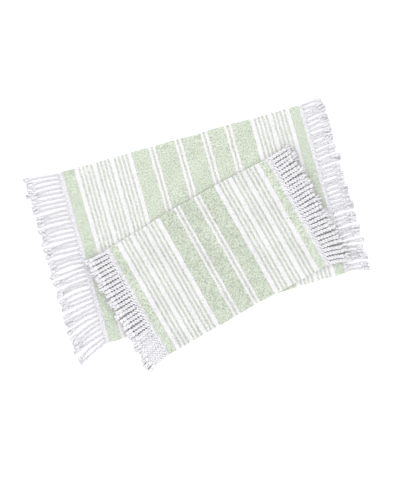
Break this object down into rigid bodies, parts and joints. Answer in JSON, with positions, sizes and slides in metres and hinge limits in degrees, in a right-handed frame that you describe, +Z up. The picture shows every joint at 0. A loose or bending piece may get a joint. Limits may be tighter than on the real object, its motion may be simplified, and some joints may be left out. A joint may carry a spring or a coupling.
{
  "type": "fringed bath mat set",
  "caption": "Flat striped cotton bath mats with twisted and knotted fringe at both ends, a small mat laid askew on a large one.",
  "frame": {"origin": "middle of the large mat's woven underside, on the floor", "axes": "+X along the large mat's length, +Y across it, away from the edge that the small mat overhangs, +Z up"},
  "size_m": [1.1013, 0.7723, 0.0218],
  "materials": {
    "green_weft": "matt nubby cotton weft, sage green",
    "white_weft": "matt nubby cotton weft, white",
    "warp_cotton": "matt spun cotton, white",
    "fringe_cotton": "matt twisted cotton cord, white"
  },
  "bodies": {
    "large_mat": {"large_band_1": "green_weft", "large_band_2": "green_weft", "large_band_3": "green_weft", "large_band_4": "green_weft", "large_band_5": "green_weft", "large_divider_1_line": "green_weft", "large_divider_1_white": "white_weft", "large_divider_2_line": "green_weft", "large_divider_2_white": "white_weft", "large_divider_3_line": "green_weft", "large_divider_3_white": "white_weft", "large_divider_4_line": "green_weft", "large_divider_4_white": "white_weft", "large_end_band_left": "green_weft", "large_end_band_right": "green_weft", "large_header_left": "white_weft", "large_header_right": "white_weft", "large_left_cords": "fringe_cotton", "large_left_group_lines": "green_weft", "large_left_group_white": "white_weft", "large_left_knots": "fringe_cotton", "large_left_tufts": "fringe_cotton", "large_right_cords": "fringe_cotton", "large_right_group_lines": "green_weft", "large_right_group_white": "white_weft", "large_right_knots": "fringe_cotton", "large_right_tufts": "fringe_cotton", "large_selvedge_back": "warp_cotton", "large_selvedge_front": "warp_cotton", "large_warp": "warp_cotton"},
    "small_mat": {"small_band_1": "green_weft", "small_band_2": "green_weft", "small_band_3": "green_weft", "small_divider_1_line": "green_weft", "small_divider_1_white": "white_weft", "small_divider_2_line": "green_weft", "small_divider_2_white": "white_weft", "small_end_band_left": "green_weft", "small_end_band_right": "green_weft", "small_header_left": "white_weft", "small_header_right": "white_weft", "small_left_cords": "fringe_cotton", "small_left_group_lines": "green_weft", "small_left_group_white": "white_weft", "small_left_knots": "fringe_cotton", "small_left_tufts": "fringe_cotton", "small_right_cords": "fringe_cotton", "small_right_group_lines": "green_weft", "small_right_group_white": "white_weft", "small_right_knots": "fringe_cotton", "small_right_tufts": "fringe_cotton", "small_selvedge_back": "warp_cotton", "small_selvedge_front": "warp_cotton", "small_warp": "warp_cotton"}
  },
  "joints": [
    {"name": "small_mat_lift", "type": "slide", "parent": "large_mat", "child": "small_mat", "axis": [0, 0, 1], "range_m": [0, 0.3]}
  ]
}
